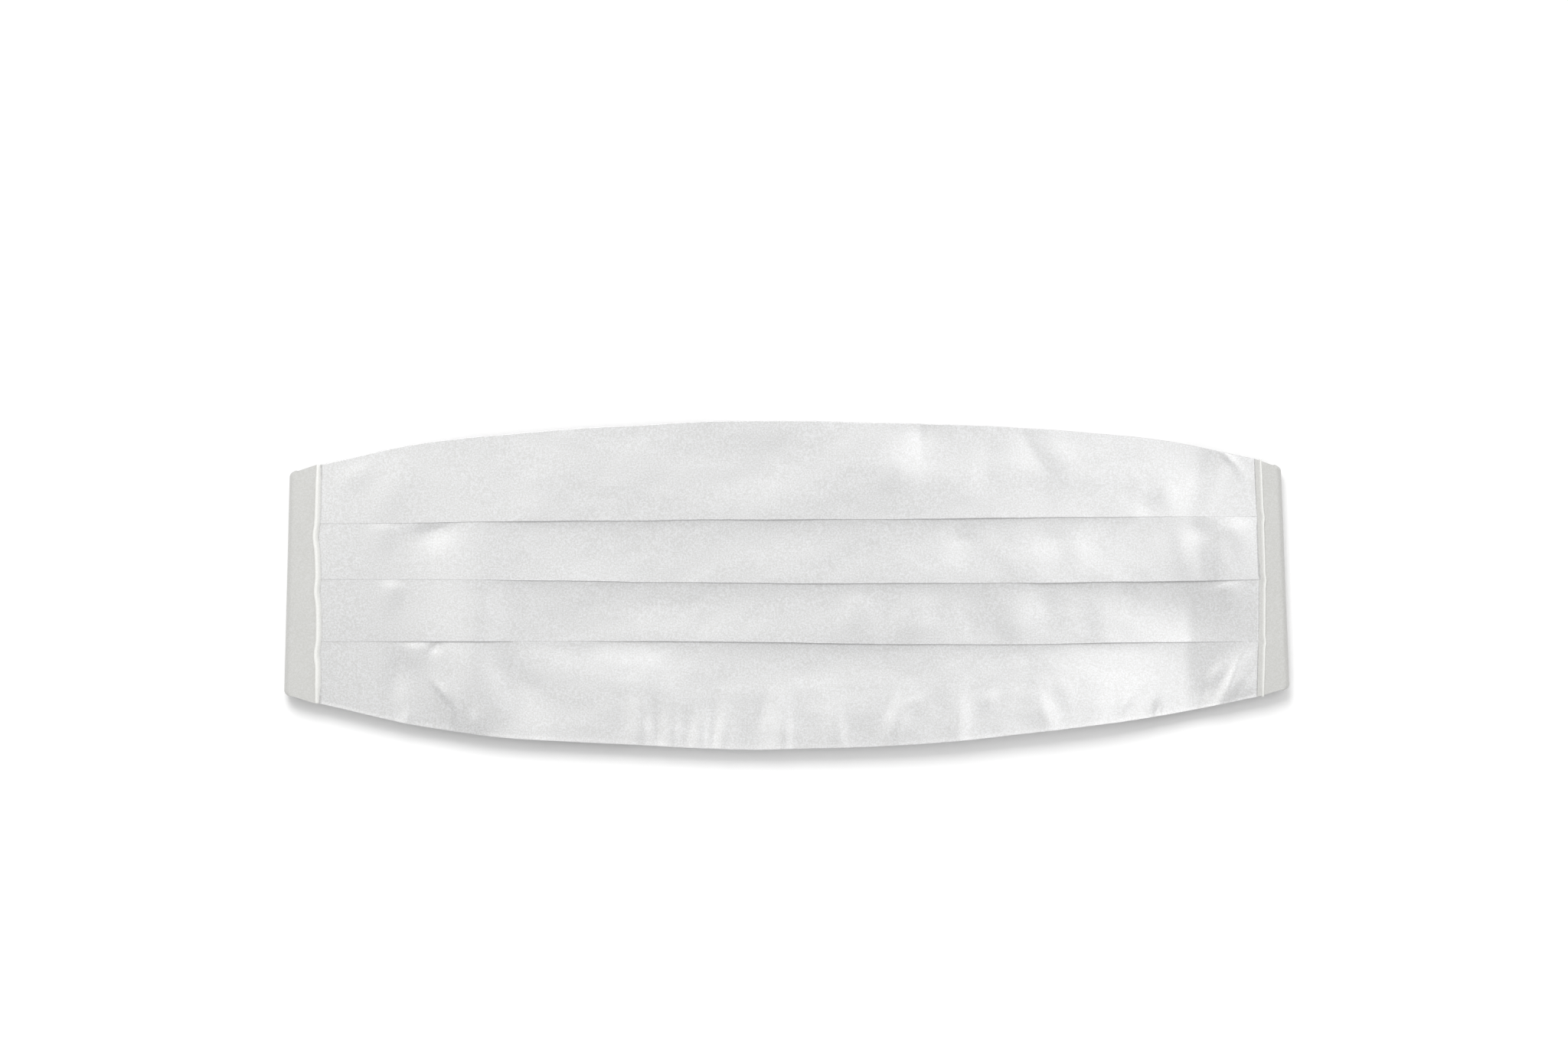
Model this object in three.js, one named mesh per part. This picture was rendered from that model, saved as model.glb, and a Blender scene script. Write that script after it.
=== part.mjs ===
// A pleated satin cummerbund, closed at the back and lying face up on a table as a flattened loop.
// All sizes are millimetres. +X runs along the waist, +Y goes to the upper edge of the front, and +Z is up.
// The origin is on the table, under the middle of the cummerbund.
import * as THREE from "three";

// The pleated front, a flat case of satin with three knife pleats that open downwards.
const seamToSeam = 359.8; // between the middles of the two side seams
const frontHeight = 125;
const clothWall = 1.0;
const layerGap = 0.35; // air between two folded layers
const pleatDepth = 10; // how far each pleat folds back under itself
const pleatRise = 2; // flat stretch above the hidden fold, before the cloth comes down again
const frontSag = 1.2; // how much the case sinks between the side seams
const frontClearance = 1.1; // air between the case's back and the clasp under its middle
const edgeDroop = 0.25; // how much lower the long edges lie than the middle
const puff = 0.5; // how much the lowest band stands up between its fold and its hem
const creaseHeight = 0.9; // height of the tallest crease
const backCrease = 0.4; // share of each crease that shows on the back of the case

// The side panels, which bend round to the back at each end and taper to the straps.
const panelWall = 1.2;
const panelStep = 0.95; // how far the panel's tab lies below the top of the pleats
const leftTabTop = 4.2; // flat part of the tab, from the seam's middle to the bend, at the upper edge
const leftTabBottom = 6.3;
const rightTabTop = 2.1;
const rightTabBottom = 4.4;
const panelReach = 76; // from the seam to the strap end, measured on the table
const panelTaper = 95; // length of cloth over which the panel narrows to the strap
const panelMargin = 1; // panel left beside and beyond the strap's end

// The piping in each side seam.
const leftPipingWidth = 1.5;
const rightPipingWidth = 2.3;
const pipingStand = 0.35; // how much taller the piping is than the folded case
const seamBowDepth = 0.9; // how far the side seams wave to either side
const pipingTip = 0.5; // share of the width that is left at the two tips
const seamGap = 0.3; // clearance between sewn pieces

// The back strap and its clasp.
const strapWidth = 25;
const strapWall = 1.2;
const strapLap = 13; // sewn overlap on the side panel
const strapStep = 5; // length of the step down from the side panel to the table
const strapReturn = 24; // length of the end that is folded back over the clasp's bar
const claspLength = 30;
const claspThickness = 1.6;
const claspBar = 3;
const slotPlay = 1.9; // how much wider each slot is than the strap that turns in it
const claspRim = 3; // frame beside the strap
const claspCorner = 3.5;
const slotCorner = 0.8;
const strapPlay = 0.6; // side clearance of the strap in the clasp
const returnEase = 0.5; // how far the folded end runs on past the bar before it comes down
const returnStep = 4.5; // length of the step down from the bar to the strap below

const frontSections = 44;
const panelSections = 12;
const bendSteps = 10;
const pipingSections = 18;
const pipingSides = 10;

const ends = [
  { name: "left", sign: -1, pipingWidth: leftPipingWidth, tabTop: leftTabTop, tabBottom: leftTabBottom },
  { name: "right", sign: 1, pipingWidth: rightPipingWidth, tabTop: rightTabTop, tabBottom: rightTabBottom },
];

// Where the case's edges and folds lie, from the left seam (at -1) to the right seam (at 1).
// The heights are shares of half the front's height, measured from its middle.
const outline = [
  { at: -1.0, top: 0.731, fold1: 0.373, fold2: 0.034, fold3: -0.343, bottom: -0.72 },
  { at: -0.8, top: 0.855, fold1: 0.376, fold2: 0.034, fold3: -0.343, bottom: -0.843 },
  { at: -0.6, top: 0.92, fold1: 0.386, fold2: 0.03, fold3: -0.343, bottom: -0.923 },
  { at: -0.4, top: 0.962, fold1: 0.388, fold2: 0.02, fold3: -0.343, bottom: -0.964 },
  { at: -0.1, top: 1.0, fold1: 0.396, fold2: 0.011, fold3: -0.346, bottom: -1.0 },
  { at: 0.2, top: 0.988, fold1: 0.398, fold2: 0.01, fold3: -0.36, bottom: -0.978 },
  { at: 0.4, top: 0.97, fold1: 0.404, fold2: 0.011, fold3: -0.361, bottom: -0.936 },
  { at: 0.6, top: 0.936, fold1: 0.409, fold2: 0.014, fold3: -0.357, bottom: -0.871 },
  { at: 0.8, top: 0.88, fold1: 0.414, fold2: 0.022, fold3: -0.348, bottom: -0.794 },
  { at: 1.0, top: 0.766, fold1: 0.416, fold2: 0.034, fold3: -0.343, bottom: -0.678 },
];

// How far each side seam waves to the right, as a share of the deepest wave, down the height of the front.
const seamBow = [
  { across: 0.74, left: 0.78, right: -1 },
  { across: 0.25, left: -0.44, right: 0.22 },
  { across: -0.05, left: 0.11, right: 0.67 },
  { across: -0.4, left: 0.11, right: 0.44 },
  { across: -0.7, left: -0.44, right: 0 },
];

// The main creases and dents of the front. Places are shares of half the length and half the height,
// length and width are shares of the front's height, turn is in degrees from the +X direction,
// and rise is a share of the tallest crease, negative where the cloth is pushed in.
const creases = [
  { at: -0.71, across: 0.3, length: 0.16, width: 0.07, turn: 80, rise: 0.7 },
  { at: -0.77, across: 0.28, length: 0.14, width: 0.08, turn: 12, rise: -0.75 },
  { at: -0.69, across: -0.1, length: 0.3, width: 0.09, turn: 88, rise: 0.6 },
  { at: -0.71, across: -0.72, length: 0.16, width: 0.06, turn: 100, rise: -0.5 },
  { at: 0.29, across: 0.8, length: 0.14, width: 0.08, turn: 95, rise: 0.55 },
  { at: 0.56, across: 0.76, length: 0.16, width: 0.08, turn: 115, rise: -0.55 },
  { at: 0.78, across: -0.25, length: 0.4, width: 0.1, turn: 88, rise: 0.8 },
  { at: 0.92, across: -0.5, length: 0.16, width: 0.06, turn: 62, rise: 0.9 },
  { at: 0.86, across: -0.45, length: 0.14, width: 0.06, turn: 48, rise: -0.6 },
  { at: 0.9, across: 0.68, length: 0.1, width: 0.06, turn: 128, rise: 0.5 },
  { at: -0.12, across: -0.85, length: 0.09, width: 0.06, turn: 90, rise: 0.4 },
  { at: 0.04, across: -0.85, length: 0.09, width: 0.06, turn: 92, rise: 0.45 },
  { at: 0.16, across: -0.82, length: 0.1, width: 0.06, turn: 70, rise: 0.45 },
  { at: 0.38, across: -0.78, length: 0.1, width: 0.06, turn: 78, rise: 0.45 },
  { at: 0.52, across: -0.74, length: 0.1, width: 0.06, turn: 95, rise: 0.4 },
];

const halfHeight = frontHeight / 2;
const layerStep = clothWall + layerGap;
const middleX = (leftTabBottom - rightTabBottom) / 2; // puts the whole loop's middle over the origin
const caseThickness = 4 * clothWall + 3 * layerGap;
const strapTurn = claspThickness / 2 + seamGap + strapWall / 2; // of the strap's middle, round the clasp's bar
const claspStack = 2 * strapTurn + strapWall; // height of both straps and the clasp on the table
const frontBase = claspStack + frontClearance + frontSag; // height of the case's back at the side seams
const loopHeight = frontBase + caseThickness - panelStep;
const bendOutside = loopHeight / 2;
const bendRadius = (loopHeight - panelWall) / 2; // of the middle of the cloth
const panelEnd = seamToSeam / 2 - panelReach; // from the seams' middle
const claspSlot = strapTurn + strapWall / 2 + slotPlay;

// Reads a column of a table at a place between its rows, along a smooth curve through them.
function smoothRead(rows, key, column, where) {
  const last = rows.length - 1;
  const rising = rows[last][key] > rows[0][key];
  let i = 0;
  while (i < last - 1 && (rising ? rows[i + 1][key] <= where : rows[i + 1][key] >= where)) i += 1;
  const span = rows[i + 1][key] - rows[i][key];
  const t = THREE.MathUtils.clamp((where - rows[i][key]) / span, 0, 1);
  const slope = (k) => {
    const a = rows[Math.max(k - 1, 0)];
    const b = rows[Math.min(k + 1, last)];
    return ((b[column] - a[column]) / (b[key] - a[key])) * span;
  };
  const risen = t * t * (3 - 2 * t);
  const leaving = slope(i) * t * (1 - t) * (1 - t);
  const arriving = slope(i + 1) * t * t * (t - 1);
  return rows[i][column] * (1 - risen) + rows[i + 1][column] * risen + leaving + arriving;
}

// The height of one of the front's edges or folds at a place along it.
function lineHeight(column, at) {
  return smoothRead(outline, "at", column, at) * halfHeight;
}

// The x place of the middle of a side seam at a height on the front.
function seamX(end, y) {
  const bow = seamBowDepth * smoothRead(seamBow, "across", end.name, y / halfHeight);
  return middleX + (end.sign * seamToSeam) / 2 + bow;
}

// How far the sewn cloth stays from the middle of its seam, to leave room for the piping.
function seamAllowance(end) {
  return end.pipingWidth / 2 + seamGap;
}

// The height that the creases and dents add to the cloth at a place on the front.
function creaseRise(x, y) {
  let height = 0;
  for (const crease of creases) {
    const turn = THREE.MathUtils.degToRad(crease.turn);
    const dx = x - middleX - (crease.at * seamToSeam) / 2;
    const dy = y - crease.across * halfHeight;
    const along = (dx * Math.cos(turn) + dy * Math.sin(turn)) / (crease.length * frontHeight);
    const aside = (dy * Math.cos(turn) - dx * Math.sin(turn)) / (crease.width * frontHeight);
    height += crease.rise * creaseHeight * Math.exp(-along * along - aside * aside);
  }
  return height;
}

// The height over the table of the middle of one of the case's layers. The side seams hold the cloth flat,
// and the back takes less of the front's creases.
function layerHeight(at, x, y, layer) {
  const sag = frontSag * (1 - at * at);
  const droop = edgeDroop * (y / halfHeight) ** 2;
  const creased = creaseRise(x, y) * (1 - at ** 8) * THREE.MathUtils.lerp(backCrease, 1, layer / 3);
  return frontBase - sag - droop + creased + clothWall / 2 + layer * layerStep;
}

// The middle line of the case's cloth on one cross-section, once round: each point is a height on the
// front and a layer, where 0 is the back and 3 is the top of a pleat.
function caseLine(at) {
  const turnRadius = layerStep / 2;
  const reach = turnRadius + clothWall / 2; // from a turn's centre to the cloth's outer face
  const line = [];
  const add = (y, layer) => line.push({ y, layer });
  // The points inside a half turn from one layer to the next, bulging up (1) or down (-1) the front.
  const turn = (y, from, to, bulge, steps) => {
    for (let k = 1; k < steps; k += 1) {
      const angle = (Math.PI * k) / steps;
      add(y + bulge * turnRadius * Math.sin(angle), (from + to) / 2 + ((from - to) / 2) * Math.cos(angle));
    }
  };
  const top = lineHeight("top", at) - reach;
  const bottom = lineHeight("bottom", at) + reach;
  for (const share of [0, 0.25, 0.5, 0.75, 1]) add(THREE.MathUtils.lerp(bottom, top, share), 0);
  turn(top, 0, 1, 1, 3);
  let start = top;
  for (const fold of ["fold1", "fold2", "fold3"]) {
    const edge = lineHeight(fold, at) + reach;
    const hidden = edge + pleatDepth;
    const crest = hidden + reach + pleatRise;
    add(start, 1);
    add(THREE.MathUtils.lerp(start, crest, 0.35), 1.35);
    add(THREE.MathUtils.lerp(start, crest, 0.7), 2.55);
    add(crest, 3);
    add(edge, 3);
    turn(edge, 3, 2, -1, 3);
    add(edge, 2);
    add(hidden, 2);
    turn(hidden, 2, 1, 1, 2);
    add(hidden, 1);
    start = edge - reach;
  }
  add(start, 1);
  for (const share of [0.3, 0.65]) {
    add(THREE.MathUtils.lerp(start, bottom, share), 1 + (puff / layerStep) * Math.sin(Math.PI * share));
  }
  add(bottom, 1);
  turn(bottom, 1, 0, -1, 3);
  return line;
}

// Vectors square to a path, in the plane that leaves out one axis. At a corner they are longer, so that
// the wall keeps its thickness.
function wallNormals(path, leftOut, closed) {
  const count = path.length;
  const flat = path.map((p) => (leftOut === "x" ? new THREE.Vector2(p.y, p.z) : new THREE.Vector2(p.x, p.z)));
  return flat.map((here, k) => {
    const before = closed ? flat[(k + count - 1) % count] : flat[Math.max(k - 1, 0)];
    const after = closed ? flat[(k + 1) % count] : flat[Math.min(k + 1, count - 1)];
    const arriving = here.clone().sub(before);
    const leaving = after.clone().sub(here);
    if (arriving.lengthSq() === 0) arriving.copy(leaving);
    if (leaving.lengthSq() === 0) leaving.copy(arriving);
    arriving.normalize();
    leaving.normalize();
    const along = arriving.clone().add(leaving).normalize();
    const stretch = 1 / Math.max(along.dot(arriving), 0.6);
    const a = -along.y * stretch;
    const b = along.x * stretch;
    return leftOut === "x" ? new THREE.Vector3(0, a, b) : new THREE.Vector3(a, 0, b);
  });
}

// Makes a geometry from points and triangles, and turns it right side out if its volume is negative.
function meshGeometry(points, index) {
  let volume = 0;
  for (let i = 0; i < index.length; i += 3) {
    const [a, b, c] = [points[index[i]], points[index[i + 1]], points[index[i + 2]]];
    volume += a.dot(b.clone().cross(c));
  }
  if (volume < 0) {
    for (let i = 0; i < index.length; i += 3) {
      [index[i + 1], index[i + 2]] = [index[i + 2], index[i + 1]];
    }
  }
  const geometry = new THREE.BufferGeometry().setFromPoints(points);
  geometry.setIndex(index);
  geometry.computeVertexNormals();
  return geometry;
}

// Builds a closed wall of cloth on both sides of its middle surface. Each slice is one path of points, and
// all have the same number. Closed paths make a tube whose two ends are open rings.
function clothWallGeometry(slices, wall, leftOut, closed) {
  const points = [];
  const index = [];
  const perSlice = slices[0].length;
  for (const slice of slices) {
    const normals = wallNormals(slice, leftOut, closed);
    for (const face of [0.5, -0.5]) {
      slice.forEach((p, k) => points.push(p.clone().addScaledVector(normals[k], face * wall)));
    }
  }
  const at = (i, face, k) => (i * 2 + face) * perSlice + (k % perSlice);
  const quad = (a, b, c, d) => index.push(a, b, c, a, c, d);
  const steps = closed ? perSlice : perSlice - 1;
  const last = slices.length - 1;
  for (let i = 0; i < last; i += 1) {
    for (let k = 0; k < steps; k += 1) {
      quad(at(i, 0, k), at(i + 1, 0, k), at(i + 1, 0, k + 1), at(i, 0, k + 1));
      quad(at(i, 1, k), at(i, 1, k + 1), at(i + 1, 1, k + 1), at(i + 1, 1, k));
    }
    if (!closed) {
      quad(at(i, 0, 0), at(i, 1, 0), at(i + 1, 1, 0), at(i + 1, 0, 0));
      quad(at(i, 1, steps), at(i, 0, steps), at(i + 1, 0, steps), at(i + 1, 1, steps));
    }
  }
  for (let k = 0; k < steps; k += 1) {
    quad(at(0, 0, k), at(0, 0, k + 1), at(0, 1, k + 1), at(0, 1, k));
    quad(at(last, 0, k), at(last, 1, k), at(last, 1, k + 1), at(last, 0, k + 1));
  }
  return meshGeometry(points, index);
}

// Joins rings of points into a closed tube.
function tubeGeometry(rings) {
  const index = [];
  const around = rings[0].length;
  const last = rings.length - 1;
  for (let i = 0; i < last; i += 1) {
    for (let k = 0; k < around; k += 1) {
      const a = i * around + k;
      const b = i * around + ((k + 1) % around);
      index.push(a, b, b + around, a, b + around, a + around);
    }
  }
  for (let k = 1; k < around - 1; k += 1) {
    index.push(0, k + 1, k);
    index.push(last * around, last * around + k, last * around + k + 1);
  }
  return meshGeometry(rings.flat(), index);
}

// The pleated case. Its end sections follow the bow of the side seams.
function pleatedFront() {
  const slices = [];
  for (let i = 0; i <= frontSections; i += 1) {
    const at = (2 * i) / frontSections - 1;
    const end = at < 0 ? ends[0] : ends[1];
    slices.push(
      caseLine(at).map(({ y, layer }) => {
        const sewn = seamX(end, y) - end.sign * seamAllowance(end);
        const x = THREE.MathUtils.lerp(middleX, sewn, Math.abs(at));
        return new THREE.Vector3(x, y, layerHeight(at, x, y, layer));
      }),
    );
  }
  return clothWallGeometry(slices, clothWall, "x", true);
}

// A side panel: out from the seam as a short tab, round the bend, and back along the table to the strap.
function sidePanel(end) {
  const seamTop = lineHeight("top", end.sign);
  const seamBottom = lineHeight("bottom", end.sign);
  const strapEdge = strapWidth / 2 + panelMargin;
  const slices = [];
  for (let i = 0; i <= panelSections; i += 1) {
    const share = i / panelSections;
    const bendMiddle = THREE.MathUtils.lerp(end.tabBottom, end.tabTop, share);
    const sewnY = THREE.MathUtils.lerp(seamBottom, seamTop, share);
    const sewn = end.sign * (seamX(end, sewnY) - middleX) - seamToSeam / 2 + seamAllowance(end);
    // Each station is its distance out from the seam's middle, its height and its length along the cloth.
    const stations = [];
    for (const part of [0, 0.5]) {
      const out = THREE.MathUtils.lerp(sewn, bendMiddle, part);
      stations.push({ out, up: loopHeight - panelWall / 2, along: out - sewn });
    }
    for (let k = 0; k <= bendSteps; k += 1) {
      const angle = (Math.PI * k) / bendSteps;
      stations.push({
        out: bendMiddle + bendRadius * Math.sin(angle),
        up: loopHeight / 2 + bendRadius * Math.cos(angle),
        along: bendMiddle - sewn + bendRadius * angle,
      });
    }
    for (const part of [0.25, 0.5, 0.75, 1]) {
      const out = THREE.MathUtils.lerp(bendMiddle, -panelReach, part);
      stations.push({ out, up: panelWall / 2, along: bendMiddle - sewn + bendRadius * Math.PI + bendMiddle - out });
    }
    slices.push(
      stations.map(({ out, up, along }) => {
        const taper = Math.min(along / panelTaper, 1);
        const low = THREE.MathUtils.lerp(seamBottom, -strapEdge, taper);
        const high = THREE.MathUtils.lerp(seamTop, strapEdge, taper);
        const x = middleX + end.sign * (seamToSeam / 2 + out);
        return new THREE.Vector3(x, THREE.MathUtils.lerp(low, high, share), up);
      }),
    );
  }
  return clothWallGeometry(slices, panelWall, "y", false);
}

// The piping that stands in a side seam, a soft oval roll that thins out towards its tips.
function piping(end) {
  const top = lineHeight("top", end.sign);
  const bottom = lineHeight("bottom", end.sign);
  const caseMiddle = frontBase + caseThickness / 2;
  const halfRoll = (caseThickness + pipingStand) / 2;
  const rings = [];
  for (let i = 0; i <= pipingSections; i += 1) {
    const share = i / pipingSections;
    const y = THREE.MathUtils.lerp(bottom, top, share);
    const middle = caseMiddle - edgeDroop * (y / halfHeight) ** 2;
    const slender = pipingTip + (1 - pipingTip) * Math.min(1, Math.sin(Math.PI * share) * 4);
    const ring = [];
    for (let k = 0; k < pipingSides; k += 1) {
      const angle = (2 * Math.PI * (k + 0.5)) / pipingSides;
      const aside = (end.pipingWidth / 2) * slender * Math.cos(angle);
      const up = halfRoll * slender * Math.sin(angle);
      ring.push(new THREE.Vector3(seamX(end, y) + aside, y, middle + up));
    }
    rings.push(ring);
  }
  return tubeGeometry(rings);
}

// A strap of webbing: sewn on the side panel's end, stepped down to the table, and folded round the clasp's bar.
function strap(end) {
  const sewnEnd = panelEnd + end.sign * middleX;
  const low = strapWall / 2;
  const lapped = panelWall + seamGap + strapWall / 2;
  const returned = low + strapWall + seamGap;
  const barFace = claspLength / 2 - claspBar;
  const bridge = claspLength / 2 + returnEase;
  const line = [
    [sewnEnd + strapLap, lapped],
    [sewnEnd - panelMargin, lapped],
    [sewnEnd - panelMargin - strapStep, low],
    [barFace + strapReturn, low],
    [barFace, low],
  ];
  for (let k = 1; k < 6; k += 1) {
    const angle = (Math.PI * k) / 6;
    line.push([barFace - strapTurn * Math.sin(angle), low + strapTurn * (1 - Math.cos(angle))]);
  }
  line.push([barFace, low + 2 * strapTurn]);
  line.push([bridge, low + 2 * strapTurn]);
  line.push([bridge + returnStep, returned]);
  line.push([barFace + strapReturn, returned]);
  const slices = [-0.5, 0.5].map((share) =>
    line.map(([out, up]) => new THREE.Vector3(end.sign * out, share * strapWidth, up)),
  );
  return clothWallGeometry(slices, strapWall, "y", false);
}

// Draws a rectangle with round corners round a point on the X axis.
function roundedRectangle(path, centre, length, width, corner) {
  const x = length / 2 - corner;
  const y = width / 2 - corner;
  path.absarc(centre + x, y, corner, 0, Math.PI / 2);
  path.absarc(centre - x, y, corner, Math.PI / 2, Math.PI);
  path.absarc(centre - x, -y, corner, Math.PI, Math.PI * 1.5);
  path.absarc(centre + x, -y, corner, Math.PI * 1.5, Math.PI * 2);
  path.closePath();
  return path;
}

// The clasp, one flat plate with a slot for each strap.
function clasp() {
  const width = strapWidth + 2 * (strapPlay + claspRim);
  const plate = roundedRectangle(new THREE.Shape(), 0, claspLength, width, claspCorner);
  const slotMiddle = claspLength / 2 - claspBar - claspSlot / 2;
  for (const { sign } of ends) {
    const slot = new THREE.Path();
    plate.holes.push(roundedRectangle(slot, sign * slotMiddle, claspSlot, strapWidth + 2 * strapPlay, slotCorner));
  }
  return new THREE.ExtrudeGeometry(plate, { depth: claspThickness, bevelEnabled: false, curveSegments: 5 });
}

const satin = new THREE.MeshStandardMaterial({ color: 0xe4e5e5, roughness: 0.42, metalness: 0 });
const panelSatin = new THREE.MeshStandardMaterial({ color: 0xd7d7d4, roughness: 0.55, metalness: 0 });
const pipingSatin = new THREE.MeshStandardMaterial({ color: 0xebebe8, roughness: 0.5, metalness: 0 });
const webbing = new THREE.MeshStandardMaterial({ color: 0xdededa, roughness: 0.85, metalness: 0 });
const nickel = new THREE.MeshStandardMaterial({ color: 0xb8b9ba, roughness: 0.3, metalness: 1 });

function piece(name, geometry, material) {
  const mesh = new THREE.Mesh(geometry, material);
  mesh.name = name;
  return mesh;
}

const cummerbund = new THREE.Group();
cummerbund.add(piece("pleated_front", pleatedFront(), satin));
for (const end of ends) {
  cummerbund.add(piece(`${end.name}_piping`, piping(end), pipingSatin));
  cummerbund.add(piece(`${end.name}_side_panel`, sidePanel(end), panelSatin));
  cummerbund.add(piece(`${end.name}_strap`, strap(end), webbing));
}
const backClasp = piece("clasp", clasp(), nickel);
backClasp.position.z = strapWall + seamGap;
cummerbund.add(backClasp);

export default cummerbund;
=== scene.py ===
import math

import bmesh
import bpy
import numpy as np
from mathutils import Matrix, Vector, noise


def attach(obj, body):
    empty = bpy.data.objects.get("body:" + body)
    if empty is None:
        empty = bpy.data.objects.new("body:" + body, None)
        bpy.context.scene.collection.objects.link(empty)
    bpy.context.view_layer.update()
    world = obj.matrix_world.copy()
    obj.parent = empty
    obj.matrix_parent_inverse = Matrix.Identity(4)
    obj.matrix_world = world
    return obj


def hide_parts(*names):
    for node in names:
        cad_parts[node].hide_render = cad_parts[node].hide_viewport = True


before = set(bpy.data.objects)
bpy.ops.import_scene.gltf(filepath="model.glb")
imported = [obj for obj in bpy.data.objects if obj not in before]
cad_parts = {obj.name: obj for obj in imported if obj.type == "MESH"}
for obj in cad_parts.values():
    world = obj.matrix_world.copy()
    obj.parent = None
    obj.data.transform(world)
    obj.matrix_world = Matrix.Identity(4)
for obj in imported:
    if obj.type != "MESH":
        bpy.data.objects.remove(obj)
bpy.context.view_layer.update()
mm = 0.001
bpy.ops.object.select_all(action="DESELECT")

# camera straight above the cloth, as for a flat lay; widthSeen is seen at planeHeight; mm
photoView = {"centreX": -0.94, "centreY": 23.76, "height": 1500, "planeHeight": 9, "widthSeen": 595.3}

lens = bpy.data.cameras.new("photoCamera")
lens.sensor_fit = "HORIZONTAL"
lens.sensor_width = 36
lens.lens = lens.sensor_width * (photoView["height"] - photoView["planeHeight"]) / photoView["widthSeen"]
lens.clip_end = 20
camera = bpy.data.objects.new("photoCamera", lens)
camera.location = [photoView[key] * mm for key in ("centreX", "centreY", "height")]
bpy.context.collection.objects.link(camera)
bpy.context.scene.camera = camera
print("camera set")

# lengths of the whole loop in mm
loop = {
    "seamToSeam": 359.8,
    "middle": 0.95,  # x of the front's middle
    "frontHeight": 125,
    "bendHeight": 10.4,  # top of the side panels' bends over the floor
    "seamWave": 0.9,
    "panelReach": 76,  # how far a panel runs back under the front
    "panelTaper": 95,  # length over which it narrows to the strap
    "strapWidth": 25,
}
halfHeight = loop["frontHeight"] / 2

# edges and folds as shares of half the front's height, along the front from seam to seam
outline = [
    {"at": -1.0, "top": 0.731, "fold1": 0.373, "fold2": 0.034, "fold3": -0.343, "bottom": -0.72},
    {"at": -0.8, "top": 0.855, "fold1": 0.376, "fold2": 0.034, "fold3": -0.343, "bottom": -0.849},
    {"at": -0.6, "top": 0.92, "fold1": 0.386, "fold2": 0.03, "fold3": -0.343, "bottom": -0.929},
    {"at": -0.4, "top": 0.962, "fold1": 0.388, "fold2": 0.02, "fold3": -0.343, "bottom": -0.964},
    {"at": -0.1, "top": 1.0, "fold1": 0.396, "fold2": 0.011, "fold3": -0.346, "bottom": -1.0},
    {"at": 0.2, "top": 0.988, "fold1": 0.398, "fold2": 0.01, "fold3": -0.36, "bottom": -0.978},
    {"at": 0.4, "top": 0.97, "fold1": 0.404, "fold2": 0.011, "fold3": -0.361, "bottom": -0.936},
    {"at": 0.6, "top": 0.936, "fold1": 0.409, "fold2": 0.014, "fold3": -0.357, "bottom": -0.871},
    {"at": 0.8, "top": 0.88, "fold1": 0.414, "fold2": 0.022, "fold3": -0.348, "bottom": -0.794},
    {"at": 1.0, "top": 0.766, "fold1": 0.416, "fold2": 0.034, "fold3": -0.343, "bottom": -0.678},
]
# how far each seam bows to the right, in shares of seamWave, at shares of half the front's height
seamBow = [
    {"across": 0.74, "left": 0.15, "right": -1.0},
    {"across": 0.25, "left": -0.44, "right": 0.22},
    {"across": -0.05, "left": 0.11, "right": 0.67},
    {"across": -0.4, "left": 0.11, "right": 0.44},
    {"across": -0.7, "left": -0.44, "right": 0.0},
]
# both ends in mm: width of the piping, how far inside the seam the piping, front and panel begin,
# width of the tab, and the kink that each fold puts in the seam
ends = {
    "left": {"side": -1, "piping": 2.3, "pipingIn": 1.2, "frontIn": 1.9, "panelIn": 0.6,
             "tabTop": 7.65, "tabBottom": 9.75, "kink": 0.7, "kinkBelow": 5, "kinkLong": 4},
    "right": {"side": 1, "piping": 1.35, "pipingIn": 0.15, "frontIn": 1.7, "panelIn": 2.1,
              "tabTop": 4.85, "tabBottom": 8.15, "kink": 0.35, "kinkBelow": 0.5, "kinkLong": 1.8},
}


def mix(a, b, share):
    return a + (b - a) * share


def easeIn(low, high, value):
    share = min(max((value - low) / (high - low), 0), 1)
    return share * share * (3 - 2 * share)


def noiseAt(x, y, z):
    return noise.noise(Vector((x, y, z)))


def readRow(rows, key, column, where):
    # smooth curve through a table's column
    last = len(rows) - 1
    rising = rows[last][key] > rows[0][key]
    i = 0
    while i < last - 1 and (rows[i + 1][key] <= where if rising else rows[i + 1][key] >= where):
        i += 1
    span = rows[i + 1][key] - rows[i][key]
    t = min(max((where - rows[i][key]) / span, 0), 1)

    def slope(k):
        a = rows[max(k - 1, 0)]
        b = rows[min(k + 1, last)]
        return (b[column] - a[column]) / (b[key] - a[key]) * span

    risen = t * t * (3 - 2 * t)
    value = mix(rows[i][column], rows[i + 1][column], risen)
    return value + slope(i) * t * (1 - t) ** 2 + slope(i + 1) * t * t * (t - 1)


def lineAt(column, at):
    return readRow(outline, "at", column, at) * halfHeight


def seamX(name, y):
    bow = loop["seamWave"] * readRow(seamBow, "across", name, y / halfHeight)
    return loop["middle"] + ends[name]["side"] * loop["seamToSeam"] / 2 + bow


def pushedOut(name, y):
    # pleats sewn in push the seam a little way out
    end = ends[name]
    pushed = 0
    for column in ("fold1", "fold2", "fold3"):
        away = (y - lineAt(column, end["side"]) + end["kinkBelow"]) / end["kinkLong"]
        pushed += end["kink"] * math.exp(-away ** 2)
    return end["side"] * pushed


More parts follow.
